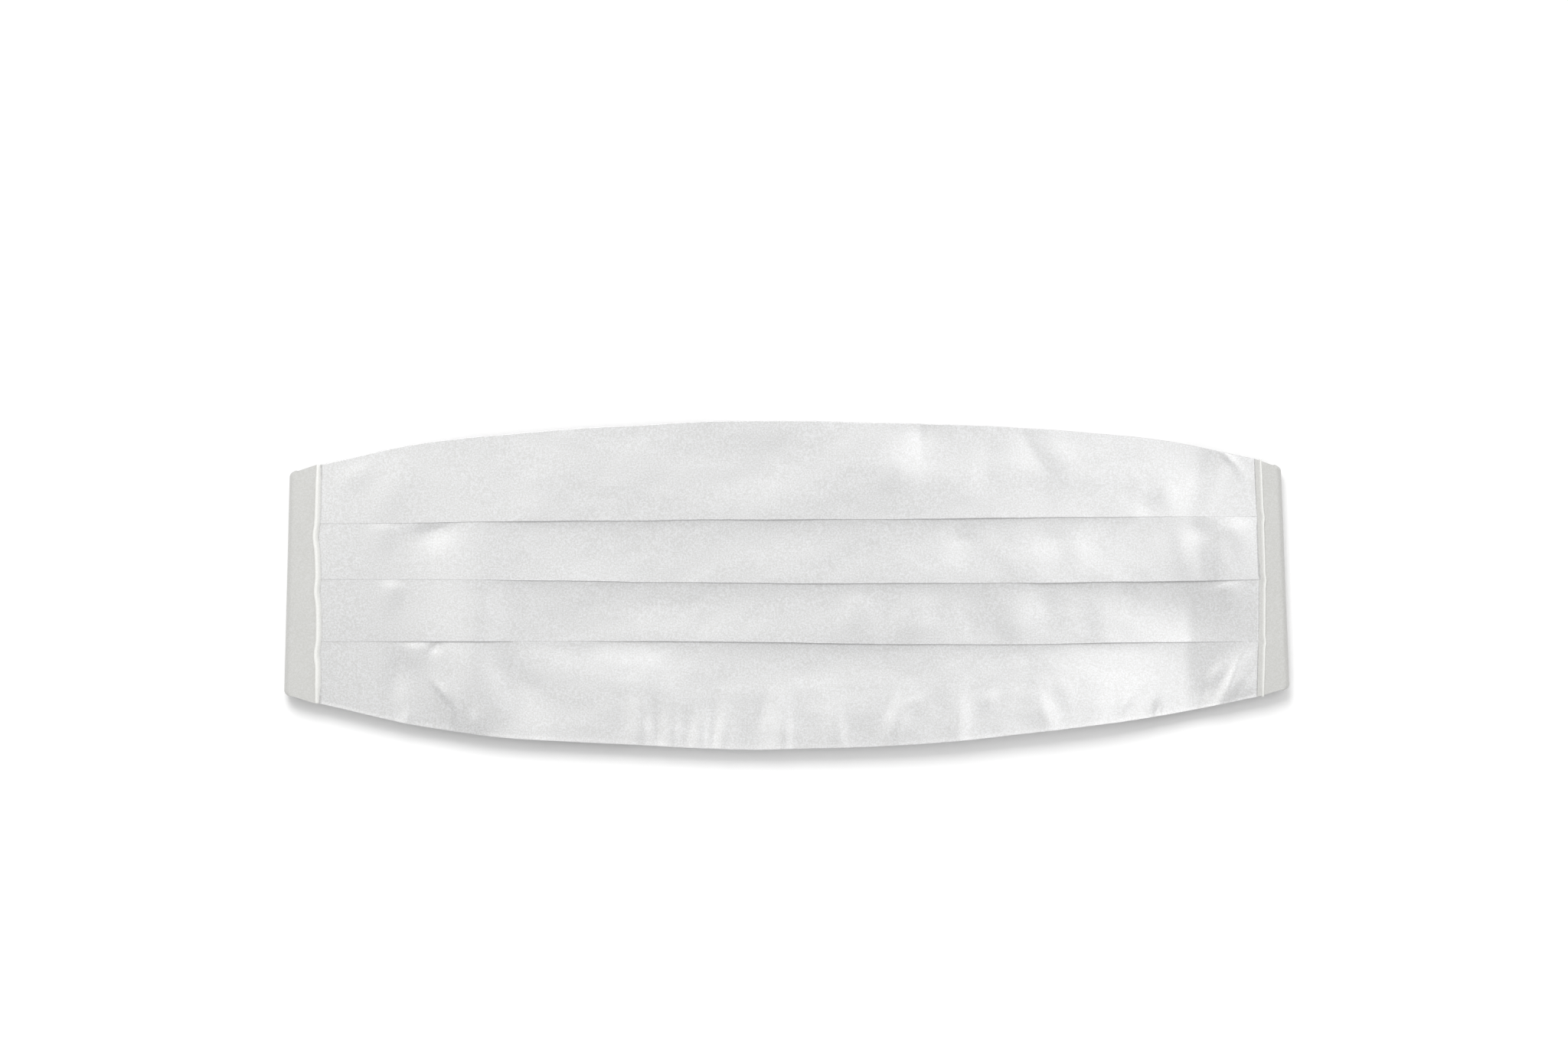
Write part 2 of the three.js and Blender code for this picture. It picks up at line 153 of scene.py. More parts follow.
def meshFrom(name, points, faces, capRings=()):
    mesh = bpy.data.meshes.new(name)
    mesh.from_pydata([(x * mm, y * mm, z * mm) for x, y, z in points], [], faces)
    for ring in capRings:
        bm = bmesh.new()
        bm.from_mesh(mesh)
        bm.verts.ensure_lookup_table()
        bm.faces.new([bm.verts[i] for i in ring])
        bm.to_mesh(mesh)
        bm.free()
    piece = bpy.data.objects.new(name, mesh)
    bpy.context.collection.objects.link(piece)
    return piece


def gridFaces(strips, rows):
    faces = []
    for i in range(strips):
        for k in range(rows - 1):
            a = i * rows + k
            faces.append((a, a + 1, a + rows + 1, a + rows))
    return faces


def faceOutwards(piece):
    bm = bmesh.new()
    bm.from_mesh(piece.data)
    bmesh.ops.remove_doubles(bm, verts=bm.verts, dist=1e-7)
    bmesh.ops.recalc_face_normals(bm, faces=bm.faces)
    bm.to_mesh(piece.data)
    bm.free()
    piece.data.update()


def shadeSmooth(piece):
    piece.data.polygons.foreach_set("use_smooth", [True] * len(piece.data.polygons))


def finishWith(piece, modifiers):
    # adds modifiers in turn and applies them
    bpy.ops.object.select_all(action="DESELECT")
    piece.select_set(True)
    bpy.context.view_layer.objects.active = piece
    for kind, values in modifiers:
        modifier = piece.modifiers.new(kind.title(), kind)
        for key, value in values.items():
            setattr(modifier, key, value)
        bpy.ops.object.modifier_apply(modifier=modifier.name)
    piece.select_set(False)


def thicken(piece, wall, edgeRound):
    # gives a sheet its wall, half to each side, and rounds its cut edges
    finishWith(piece, [
        ("SOLIDIFY", {"thickness": wall * mm, "offset": 0, "use_even_offset": True}),
        ("BEVEL", {"width": edgeRound * mm, "segments": 2, "limit_method": "ANGLE", "angle_limit": 1.2}),
    ])
    faceOutwards(piece)
    shadeSmooth(piece)


# pleated satin front; heights and widths in mm
front = {
    "base": 8.0,  # underside over the floor, at the seams
    "sag": 1.9,  # how much lower it lies in the middle
    "droop": 0.25,  # and along both long edges
    "hem": 1.9,  # thickness of the flat case
    "hemReach": 0.15,
    "hemLip": 0.05,
    "lipFrom": 0.955,
    "pleatOpen": 0.5,  # thickness of a fold's edge
    "pleatShut": 0.12,
    "mouthOpen": 0.07,  # gap below a fold's edge
    "mouthShut": 0.04,
    "slotDepth": 9.5,
    "slotClear": 0.02,
    "lean": 1.35,  # how late a band rises to its fold
    "hollow": 0.17,  # dip below a fold
    "dipAt": 6,
    "puff": 2.6,  # swell of the lowest band towards its hem
    "puffAtEnds": 0.3,
    "puffLean": 1.1,
    "puffFade": 0.9,
    "backShare": 0.3,  # how much of a crease or buckle reaches the back
    "columns": 330,
    "bandRows": (54, 37, 34, 60),
    "backRows": 12,
    "hemRows": 6,
    "foldRows": 8,
    "slotRows": 5,
    "joinRows": 4,
    "closeRow": 0.08,  # row close to a hem or fold, which keeps its shading narrow
    "foldWave": 0.22,  # wavering of hand-folded edges
    "foldWaves": (
        {"share": 1, "perX": 0.045, "perBand": 3.1, "start": 0},
        {"share": 0.35, "perX": 0.21, "perBand": 5.7, "start": 4},
    ),
    "buckles": (
        {"rise": 0.26, "perX": 0.03, "perY": 0.05, "perBand": 2.3, "start": 0},
        {"rise": 0.05, "perX": 0.13, "perY": 0.16, "perBand": 1.7, "start": 9},
    ),
    "bucklesShut": 0.2,  # share of the buckles where the pleats are pressed shut
}

# creases: x, y, half length, width on the left of the line, width on its right, turn in degrees,
# rise in mm, bands that take it, v for a sharp one
creases = [
    # pressed left end
    (-134, 20.5, 8, 3, 6, 14, -0.42, "2"),
    (-120, -38, 46, 20, 12, 88, 1.7, "123"),
    (-119, -34, 24, 15, 12, 96, 1.3, "4"),
    (-153, 20.8, 5, 3, 8, -4, 0.21, "2"),
    (-149.5, -1.5, 4, 2.6, 7, -10, 0.23, "3"),
    (-141, -24.5, 4.5, 2.6, 7, -8, 0.23, "4"),
    (-133, -23, 3, 1.4, 2, 60, -0.25, "4"),
    (-147.5, -33.5, 9, 3.6, 4.6, 84, -0.34, "4"),
    (-125.4, -50, 8, 0.9, 5.5, 92, 0.45, "4v"),
    (-130.2, -41.5, 5.5, 5, 1.1, -50, 0.3, "4v"),
    (-118, -52, 5, 2, 3.5, 80, 0.3, "4"),
    (-145, -52, 4, 1.5, 2.5, 75, 0.25, "4"),
    (-150, 35, 12, 7, 7, 60, 0.16, "1"),
    (-163, 42, 7, 3, 5, 30, 0.14, "1"),
    # lowest band, left and middle
    (-102, -38, 15, 7, 9, -45, -0.36, "4"),
    (-88, -34, 22, 8, 12, -38, 0.5, "4"),
    (-62, -36, 24, 12, 12, -20, 0.5, "4"),
    (-98, -28, 12, 3, 4, -60, 0.16, "4"),
    (-55, -55, 11, 5, 3.2, 92, 0.42, "4"),
    (-43.4, -56, 11, 4.4, 3.4, 88, 0.38, "4"),
    (-49, -54, 9, 2, 2, 90, -0.12, "4"),
    (-33, -58, 10, 3.6, 3.2, 84, 0.32, "4"),
    (-23.3, -58, 11, 4.4, 3.6, 82, 0.38, "4"),
    (-28, -56, 8, 1.8, 1.8, 86, -0.12, "4"),
    (-1.2, -58, 12, 5.4, 3.2, 90, 0.44, "4"),
    (-10, -50, 7, 3, 3, 80, -0.16, "4"),
    (19, -56, 12, 5.4, 3.6, 95, 0.32, "4"),
    (42.5, -52, 10, 5, 3.2, 72, 0.34, "4"),
    (38, -47, 7, 3, 3, 75, -0.1, "4"),
    (49, -44, 3.5, 1.6, 2.4, 40, 0.14, "4"),
    (65, -53, 11, 5.5, 3.6, 86, 0.35, "4"),
    (58, -47, 6, 3, 3, 88, -0.1, "4"),
    (77, -43, 4, 1.6, 2, 60, 0.2, "4"),
    (98, -49, 9, 5, 3.6, 112, 0.33, "4"),
    (106, -41, 6, 3, 3, 118, 0.05, "4"),
    (92, -38, 9, 4, 4, 95, -0.12, "4"),
    (128, -45, 5, 2, 2.4, 60, 0.2, "4"),
    (141, -47.5, 4, 1.6, 1.6, 84, -0.3, "4"),
    (118, -46, 6, 2, 2.6, 50, 0.15, "4"),
    # upper band
    (51.7, 57, 12, 9, 9, 92, -0.6, "1v"),
    (41, 44, 8, 5, 6, 70, 0.18, "1"),
    (93, 52, 8, 7, 6, 120, -0.26, "1v"),
    (105, 46, 9, 5, 6, 130, 0.16, "1"),
    (76, 45, 11, 4, 5, 75, -0.15, "1"),
    (155, 43, 10, 4, 5, 70, -0.2, "1"),
    (162, 38, 12, 4, 3.5, 64, 0.25, "1"),
    (167.4, 48.9, 3.2, 1, 1.3, -48, 0.34, "1"),
    (172, 44, 4, 1.6, 1.8, -60, 0.14, "1"),
    (137, 30, 5, 3, 3, 60, -0.22, "1"),
    (145, 33, 5, 3, 3.6, 100, 0.1, "1"),
    # second band
    (67.1, 16.5, 6, 4.5, 12, 0, -0.16, "2"),
    (58, 16, 6, 4, 4, 80, 0.08, "2"),
    (101, 16.5, 6, 4.5, 12, 0, -0.18, "2"),
    (115, 1, 45, 12, 16, 0, 0.25, "23"),
    (110, 14, 7, 4, 4, 80, 0.09, "2"),
    (155.2, 21, 4, 3, 6, 75, -0.24, "2"),
    (150, 14, 7, 3, 3.6, 100, 0.1, "2"),
    (171, 21, 5, 3.5, 8, 12, 0.6, "2"),
    (165, 13, 8, 3, 4, 85, 0.3, "2"),
    (157, 9, 7, 3, 3, 90, -0.18, "2"),
    # third band
    (27, -11, 9, 6, 6, 90, 0.2, "3"),
    (48.8, -12, 9, 6, 5, 86, 0.22, "3"),
    (37, -14, 8, 4, 4, 80, -0.12, "3"),
    (70.6, -7, 10, 7, 7, 92, -0.17, "3"),
    (86, -12, 9, 6, 5, 88, 0.2, "3"),
    (99, -10, 11, 6, 6, 86, -0.2, "3"),
    (130, -4, 7, 4, 4, 80, -0.18, "3"),
    (120, -13, 9, 5, 5, 84, 0.2, "3"),
    (167.4, -1, 5, 1.8, 7, 15, 0.4, "3"),
    # long fold down the right end
    (152.5, -30, 40, 24, 26, 91, -2.1, "4v"),
    (153, -12, 21, 24, 26, 88, -2.1, "3v"),
    (153, -4, 10, 22, 20, 88, -0.6, "2v"),
    (157, 44, 14, 14, 18, 78, -0.6, "1v"),
    (169.9, -35.8, 13.5, 4, 4.3, 62, 1.5, "4"),
    (165.5, -38, 9, 2, 2, 62, -0.3, "4"),
    (163.3, -33.5, 6, 2.2, 2.8, 52, 0.27, "4"),
    (176.4, -38, 5, 2, 2, 60, 0.5, "4"),
    (172.5, -33, 5, 1.2, 1.2, 62, -0.3, "4"),
    (158, -41, 6, 2, 2.4, 70, -0.25, "4"),
    # soft waves over the middle
    (-70, 0, 120, 60, 60, 90, -0.9, "1234"),
    (60, 0, 120, 45, 60, 90, 0.7, "1234"),
    (-60, 42, 26, 16, 16, 20, 0.18, "1"),
    (-5, 50, 16, 10, 10, 10, -0.16, "1"),
    (10, 36, 24, 12, 12, -12, 0.14, "1"),
    (-70, 12, 20, 8, 8, 0, -0.1, "2"),
    (-60, -12, 30, 8, 8, 4, -0.12, "3"),
    (0, -22, 60, 14, 8, 0, 0.25, "3"),
    (0, -34, 34, 9, 12, 8, -0.15, "4"),
]


def openness(at):
    # pleats are pressed shut towards both seams
    return min(easeIn(-0.74, -0.5, at), 1 - easeIn(0.62, 0.9, at))


def dip(down):
    # cloth sinks a little just under a fold
    share = max(down, 0) / front["dipAt"]
    return share * math.exp(1 - share)


def slotFloor(inner, outer, band):
    return [(mix(inner, outer, k / front["joinRows"]), front["hem"], band) for k in range(front["joinRows"])]


def frontSection(at):
    # outer face of the case on one section: y, lift over the back, band (0 is the back)
    hemRadius = front["hem"] / 2
    pleat = mix(front["pleatShut"], front["pleatOpen"], openness(at))
    edgeRadius = pleat / 2
    step = pleat + mix(front["mouthShut"], front["mouthOpen"], openness(at))
    top = lineAt("top", at) - front["hemReach"]
    bottom = lineAt("bottom", at) + front["hemReach"]
    close = front["closeRow"]
    # plain back and the hem along the top
    rows = [(mix(bottom, top, k / front["backRows"]), 0, 0) for k in range(front["backRows"] + 1)]
    hollow = 0
    for k in range(1, front["hemRows"]):
        turn = math.pi * k / front["hemRows"]
        rows.append((top + front["hemReach"] * math.sin(turn), hemRadius * (1 - math.cos(turn)), 1))
    # each band rises to its fold, goes round the fold's edge and runs back into the slot
    start = top
    slotEnd = None
    for band, column in ((1, "fold1"), (2, "fold2"), (3, "fold3")):
        edge = lineAt(column, at) + edgeRadius

        def bandLift(y):
            share = min(max((start - y) / (start - edge), 0), 1)
            return front["hem"] + step * share ** front["lean"] - hollow * dip(start - y)

        if slotEnd is not None:
            rows += slotFloor(slotEnd, start, band - 1)
        else:
            rows.append((start, front["hem"], band))
            start -= close
        count = front["bandRows"][band - 1]
        shares = [k / count for k in range(count)] + [1 - close / (start - edge), 1]
        rows += [(mix(start, edge, share), bandLift(mix(start, edge, share)), band) for share in shares]
        middle = front["hem"] + step - edgeRadius
        for k in range(1, front["foldRows"]):
            turn = math.pi * k / front["foldRows"]
            rows.append((edge - edgeRadius * math.sin(turn), middle + edgeRadius * math.cos(turn), band))
        slotEnd = edge + front["slotDepth"]
        for k in range(front["slotRows"] + 1):
            y = mix(edge, slotEnd, k / front["slotRows"])
            rows.append((y, max(bandLift(y) - pleat, front["hem"] + front["slotClear"]), band))
        start = edge - edgeRadius
        hollow = front["hollow"] * openness(at)
    rows += slotFloor(slotEnd, start, 3)
    # lowest band down to its hem
    count = front["bandRows"][3]
    shares = [k / count for k in range(count)] + [1 - close / (start - bottom), 1]
    for share in shares:
        swell = front["puff"] * mix(front["puffAtEnds"], 1, openness(at)) * share ** front["puffLean"]
        swell *= 1 - front["puffFade"] * at ** 12
        swell += front["hemLip"] * easeIn(front["lipFrom"], 1, share)
        swell -= hollow * dip(start - mix(start, bottom, share))
        rows.append((mix(start, bottom, share), front["hem"] + swell, 4))
    for k in range(1, front["hemRows"]):
        turn = math.pi * k / front["hemRows"]
        lowered = hemRadius * (1 + math.cos(turn)) * (front["hem"] + swell) / front["hem"]
        rows.append((bottom - front["hemReach"] * math.sin(turn), lowered, 4))
    return rows


def creaseLift(x, y, band):
    lift = np.zeros_like(x)
    for cx, cy, length, leftWidth, rightWidth, turn, rise, bands in creases:
        angle = math.radians(turn)
        dx = x - cx
        dy = y - cy
        along = (dx * math.cos(angle) + dy * math.sin(angle)) / length
        aside = dy * math.cos(angle) - dx * math.sin(angle)
        aside = np.where(aside > 0, aside / leftWidth, aside / rightWidth)
        if "v" in bands:
            across = 1.4 * (np.sqrt(aside ** 2 + 0.02) - 0.14)
        else:
            across = aside ** 2
        taken = np.isin(band, [int(b) for b in bands.strip("v")])
        taken = np.where(band == 0, front["backShare"], taken)
        lift += rise * taken * np.exp(-along ** 2 - across)
    return lift


def pleatedFront():
    columns = front["columns"]
    points = []
    for i in range(columns + 1):
        at = 2 * i / columns - 1
        name = "left" if at < 0 else "right"
        section = frontSection(at)
        for rowY, rowLift, rowBand in section:
            sewn = seamX(name, rowY) + pushedOut(name, rowY) - ends[name]["side"] * ends[name]["frontIn"]
            rowX = mix(loop["middle"], sewn, abs(at))
            loose = front["foldWave"] * (1 - at ** 8)
            for wave in front["foldWaves"]:
                wavered = noiseAt(rowX * wave["perX"], rowBand * wave["perBand"], wave["start"])
                rowY += loose * wave["share"] * wavered
            points.append((rowX, rowY, rowLift, rowBand, mix(front["bucklesShut"], 1, openness(at))))
    x, y, lift, band, loose = np.array(points, dtype=float).T
    at = np.clip((x - loop["middle"]) / (loop["seamToSeam"] / 2), -1, 1)
    held = 1 - at ** 16
    base = front["base"] - front["sag"] * (1 - at ** 2) - front["droop"] * (y / halfHeight) ** 2
    uneven = np.zeros_like(x)
    for buckle in front["buckles"]:
        uneven += buckle["rise"] * np.array([
            noiseAt(px * buckle["perX"], py * buckle["perY"], b * buckle["perBand"] + buckle["start"])
            for px, py, b in zip(x, y, band)
        ])
    uneven *= loose * np.where(band == 0, front["backShare"], 1)
    z = base + lift + held * (creaseLift(x, y, band) + uneven)
    rows = len(section)
    faces = []
    for i in range(columns):
        for k in range(rows):
            a = i * rows + k
            b = i * rows + (k + 1) % rows
            faces.append((a, a + rows, b + rows, b))
    capRings = [range(rows), range(columns * rows, (columns + 1) * rows)]
    piece = meshFrom("pleatedFront", list(zip(x, y, z)), faces, capRings)
    faceOutwards(piece)
    shadeSmooth(piece)
    return piece


frontPiece = pleatedFront()
print("pleated front made", len(frontPiece.data.polygons), "faces")

# side panels; mm
panel = {
    "wall": 1.0,
    "edgeRound": 0.3,
    "clear": 0.02,  # gap over the floor
    "across": 60,
    "tabRows": 16,
    "bendRows": 22,
    "backRows": 44,
    "cornerRound": 1.1,
    "bendDepth": 0.4,  # the bend's reach as a share of half its height
    "strapMargin": 1,
    "dimple": 0.22,  # soft dents in the part that shows
    "seamPull": 0.16,  # small puckers beside the seam
    "pullReach": 3,
    "seamSink": 0.5,  # how deep the seam draws the cloth in
    "sinkReach": 1.5,
    "upperSide": 1,  # what lies above this height takes the dents
}


def sidePanel(name):
    end = ends[name]
    side = end["side"]
    outside = loop["bendHeight"] / 2
    radius = outside - panel["wall"] / 2
    reach = radius * panel["bendDepth"]
    seamTop = lineAt("top", side)
    seamBottom = lineAt("bottom", side)
    strapEdge = loop["strapWidth"] / 2 + panel["strapMargin"]
    points = []
    for i in range(panel["across"] + 1):
        share = 0.5 - 0.5 * math.cos(math.pi * i / panel["across"])
        bendMiddle = mix(end["tabBottom"], end["tabTop"], share)
        sewnY = mix(seamBottom, seamTop, share)
        fromCorner = (seamTop - seamBottom) * min(share, 1 - share) / panel["cornerRound"]
        bendMiddle -= panel["cornerRound"] * (1 - math.sqrt(1 - max(0, 1 - fromCorner) ** 2))
        sewn = side * (seamX(name, sewnY) - loop["middle"]) - loop["seamToSeam"] / 2
        sewn -= end["panelIn"]
        stations = []
        for k in range(panel["tabRows"]):
            out = mix(sewn, bendMiddle, k / panel["tabRows"])
            stations.append((out, loop["bendHeight"] - panel["wall"] / 2, out - sewn))
        for k in range(panel["bendRows"]):
            turn = math.pi * k / panel["bendRows"]
            out = bendMiddle + reach * math.sin(turn)
            passed = out - sewn if turn < math.pi / 2 else 2 * (bendMiddle + reach) - sewn - out
            stations.append((out, outside + radius * math.cos(turn), passed))
        for k in range(panel["backRows"] + 1):
            out = mix(bendMiddle, -loop["panelReach"], k / panel["backRows"])
            stations.append((out, panel["wall"] / 2, 2 * (bendMiddle + reach) - sewn - out))
        for out, up, along in stations:
            taper = min(along / loop["panelTaper"], 1)
            y = mix(mix(seamBottom, -strapEdge, taper), mix(seamTop, strapEdge, taper), share)
            x = loop["middle"] + side * (loop["seamToSeam"] / 2 + out)
            if up > panel["upperSide"]:
                dented = panel["dimple"] * noiseAt(x * 0.12, y * 0.05, 3)
                pulled = panel["seamPull"] * noiseAt(x * 0.2, y * 0.35, 7)
                sunk = panel["seamSink"] * math.exp(-along / panel["sinkReach"])
                up += dented + pulled * math.exp(-along / panel["pullReach"]) - sunk
            points.append((x, y, up + panel["clear"]))
    piece = meshFrom(name + "SidePanel", points, gridFaces(panel["across"], len(stations)))
    thicken(piece, panel["wall"], panel["edgeRound"])
    return piece


panelPieces = {name: sidePanel(name) for name in ends}
print("side panels made")

# satin-covered piping: profile from its outer to its inner side, as shares of its width and height
piping = {
    "height": 5.0,
    "middle": 8.8,
    "rings": 260,
    "tip": 0.7,  # thickness at its ends
    "tipTaper": 4,
    "twist": 0.06,
    "swell": 0.09,
    "profile": [(-0.5, 0.1), (-0.46, 0.34), (-0.34, 0.45), (-0.14, 0.5), (0.06, 0.48), (0.24, 0.42),
                (0.4, 0.33), (0.55, 0.22), (0.7, 0.1), (0.7, -0.4), (0, -0.5), (-0.5, -0.4)],
}


def sideSeamPiping(name):
    end = ends[name]
    side = end["side"]
    top = lineAt("top", side)
    bottom = lineAt("bottom", side)
    points = []
    rings = piping["rings"]
    for i in range(rings + 1):
        share = i / rings
        y = mix(bottom, top, share)
        fullness = min(1, math.sin(math.pi * share) * piping["tipTaper"])
        slender = piping["tip"] + (1 - piping["tip"]) * fullness
        wobble = piping["twist"] * noiseAt(y * 0.16, 2.7, side)
        swell = 1 + piping["swell"] * noiseAt(y * 0.3, 8.1, side)
        middle = seamX(name, y) + pushedOut(name, y) - side * (end["pipingIn"] + wobble)
        for across, up in piping["profile"]:
            x = middle - side * end["piping"] * across * slender * swell
            points.append((x, y, piping["middle"] + piping["height"] * up * slender))
    count = len(piping["profile"])
    faces = []
    for i in range(rings):
        for k in range(count):
            a = i * count + k
            b = i * count + (k + 1) % count
            faces.append((a, b, b + count, a + count))
    capRings = [range(count), range(rings * count, (rings + 1) * count)]
    piece = meshFrom(name + "Piping", points, faces, capRings)
    faceOutwards(piece)
    finishWith(piece, [("SUBSURF", {"levels": 1, "render_levels": 1})])
    shadeSmooth(piece)
    return piece


pipingPieces = {name: sideSeamPiping(name) for name in ends}
print("piping made")

# back straps; mm, heights are those of the webbing's middle
strap = {
    "wall": 1.1,
    "edgeRound": 0.25,
    "across": 14,
    "low": 0.6,  # on the floor
    "lapped": 2.1,  # on another layer
    "lap": 13,  # sewn over the side panel
    "stepFrom": 1,  # then down from the panel to the floor
    "stepDown": 6,
    "stepRows": 12,
    "runRows": 40,
    "bar": 12,  # the clasp's bar, from the middle
    "turn": 1.7,
    "turnRows": 12,
    "overBar": 3.6,
    "overRows": 4,
    "tailDown": 4.6,
    "tailRows": 8,
    "tailLap": 15,
}


def sewnEnd(name):
    # where a side panel ends under its strap
    return loop["seamToSeam"] / 2 - loop["panelReach"] + ends[name]["side"] * loop["middle"]


def backStrap(name):
    side = ends[name]["side"]
    sewn = sewnEnd(name)
    low = strap["low"]
    lapped = strap["lapped"]
    line = [(sewn + strap["lap"] - k, lapped) for k in range(strap["lap"] + 1)]
    for k in range(strap["stepRows"] + 1):
        share = k / strap["stepRows"]
        out = sewn - strap["stepFrom"] - strap["stepDown"] * share
        line.append((out, mix(lapped, low, easeIn(0, 1, share))))
    run = strap["runRows"]
    line += [(mix(out, strap["bar"], k / run), low) for k in range(1, run + 1)]
    for k in range(1, strap["turnRows"]):
        turn = math.pi * k / strap["turnRows"]
        out = strap["bar"] - strap["turn"] * math.sin(turn)
        line.append((out, low + strap["turn"] * (1 - math.cos(turn))))
    high = low + 2 * strap["turn"]
    tail = strap["bar"] + strap["overBar"]
    line += [(mix(strap["bar"], tail, k / strap["overRows"]), high) for k in range(strap["overRows"] + 1)]
    for k in range(1, strap["tailRows"] + 1):
        share = k / strap["tailRows"]
        line.append((tail + strap["tailDown"] * share, mix(high, lapped, easeIn(0, 1, share))))
    tail += strap["tailDown"]
    line += [(tail + k, lapped) for k in range(1, strap["tailLap"] + 1)]
    points = []
    for i in range(strap["across"] + 1):
        y = mix(-0.5, 0.5, i / strap["across"]) * loop["strapWidth"]
        points += [(side * out, y, up) for out, up in line]
    piece = meshFrom(name + "Strap", points, gridFaces(strap["across"], len(line)))
    thicken(piece, strap["wall"], strap["edgeRound"])
    return piece


strapPieces = {name: backStrap(name) for name in ends}

# stitches that hold the straps' laps; mm
stitching = {
    "long": 2.0,
    "thick": 0.42,
    "gap": 1.0,
    "inset": 2.2,
    "lapInset": 1.5,
    "tail": (23.5, 33.5),
    "sink": 0.05,
}


def strapStitches(name):
    side = ends[name]["side"]
    sewn = sewnEnd(name)
    half = loop["strapWidth"] / 2 - stitching["inset"]
    laidOn = strap["lapped"] + strap["wall"] / 2 - stitching["sink"]
    # a box of stitches on the sewn lap and one on the folded-back tail
    rows = []
    for first, last in (
        (sewn + stitching["lapInset"], sewn + strap["lap"] - stitching["lapInset"]),
        stitching["tail"],
    ):
        rows += [((first, y), (last, y)) for y in (-half, half)]
        rows += [((out, -half), (out, half)) for out in (first, last)]
    bpy.ops.mesh.primitive_uv_sphere_add(segments=8, ring_count=5, radius=0.5 * mm)
    thread = bpy.context.active_object
    shape = [tuple(v.co) for v in thread.data.vertices]
    corners = [tuple(face.vertices) for face in thread.data.polygons]
    bpy.data.objects.remove(thread)
    points = []
    faces = []
    for (outA, yA), (outB, yB) in rows:
        run = math.hypot(outB - outA, yB - yA)
        count = max(1, round(run / (stitching["long"] + stitching["gap"])))
        turn = math.atan2(yB - yA, side * (outB - outA))
        for k in range(count):
            share = (k + 0.5) / count
            cx = side * mix(outA, outB, share)
            cy = mix(yA, yB, share)
            first = len(points)
            for px, py, pz in shape:
                along = px / mm * stitching["long"]
                aside = py / mm * stitching["thick"]
                points.append((
                    cx + along * math.cos(turn) - aside * math.sin(turn),
                    cy + along * math.sin(turn) + aside * math.cos(turn),
                    laidOn + pz / mm * stitching["thick"],
                ))
            faces += [tuple(first + v for v in face) for face in corners]
    piece = meshFrom(name + "StrapStitches", points, faces)
    faceOutwards(piece)
    shadeSmooth(piece)
    return piece


stitchPieces = {name: strapStitches(name) for name in ends}
print("straps and stitches made")


# shared effect: a fine twill relief and the satin threads' uneven tone, whose lighter flecks are painted
# glints, highlights painted into the base colour
weaving = {
    "turn": 45,  # degrees
    "stretch": 2.4,
    "threads": 1700,  # per metre
    "roughness": 0.6,
    # noise range over which the base colour turns into the lighter glint colour, a painted highlight
    "paintedGlintFrom": 0.39,
    "paintedGlintTo": 0.65,
}


def satinWeaveGroup():
    group = bpy.data.node_groups.new("satinWeave", "ShaderNodeTree")
    sockets = group.interface
    sockets.new_socket("Cloth Colour", in_out="INPUT", socket_type="NodeSocketColor")
    sockets.new_socket("Painted Glint Colour", in_out="INPUT", socket_type="NodeSocketColor")
    sockets.new_socket("Twill Per Metre", in_out="INPUT", socket_type="NodeSocketFloat")
    sockets.new_socket("Colour", in_out="OUTPUT", socket_type="NodeSocketColor")
    sockets.new_socket("Relief", in_out="OUTPUT", socket_type="NodeSocketFloat")
    nodes = group.nodes
    links = group.links
    given = nodes.new("NodeGroupInput")
    made = nodes.new("NodeGroupOutput")
    place = nodes.new("ShaderNodeTexCoord")
    turned = nodes.new("ShaderNodeMapping")
    turned.vector_type = "TEXTURE"
    turned.inputs["Rotation"].default_value = (0, 0, math.radians(weaving["turn"]))
    turned.inputs["Scale"].default_value = (weaving["stretch"], 1, 1)
    links.new(place.outputs["Object"], turned.inputs["Vector"])
    twill = nodes.new("ShaderNodeTexNoise")
    twill.inputs["Detail"].default_value = 1
    links.new(turned.outputs["Vector"], twill.inputs["Vector"])
    links.new(given.outputs["Twill Per Metre"], twill.inputs["Scale"])
    threads = nodes.new("ShaderNodeTexNoise")
    threads.inputs["Scale"].default_value = weaving["threads"]
    threads.inputs["Detail"].default_value = 2
    threads.inputs["Roughness"].default_value = weaving["roughness"]
    links.new(place.outputs["Object"], threads.inputs["Vector"])
    # painted highlight: where the threads' noise runs high, the cloth colour is mixed towards the lighter
    # glint colour, sparkle painted into the base colour
    paintedGlints = nodes.new("ShaderNodeMapRange")
    paintedGlints.inputs["From Min"].default_value = weaving["paintedGlintFrom"]
    paintedGlints.inputs["From Max"].default_value = weaving["paintedGlintTo"]
    links.new(threads.outputs["Fac"], paintedGlints.inputs["Value"])
    tint = nodes.new("ShaderNodeMix")
    tint.data_type = "RGBA"
    links.new(paintedGlints.outputs["Result"], tint.inputs["Factor"])
    links.new(given.outputs["Cloth Colour"], tint.inputs[6])
    links.new(given.outputs["Painted Glint Colour"], tint.inputs[7])
    links.new(tint.outputs[2], made.inputs["Colour"])
    relief = nodes.new("ShaderNodeMath")
    relief.operation = "ADD"
    links.new(twill.outputs["Fac"], relief.inputs[0])
    links.new(threads.outputs["Fac"], relief.inputs[1])
    links.new(relief.outputs["Value"], made.inputs["Relief"])
    return group


satinWeave = satinWeaveGroup()


def newMaterial(name):
    material = bpy.data.materials.new(name)
    material.use_nodes = True
    nodes = material.node_tree.nodes
    return material, nodes, material.node_tree.links, nodes["Principled BSDF"]


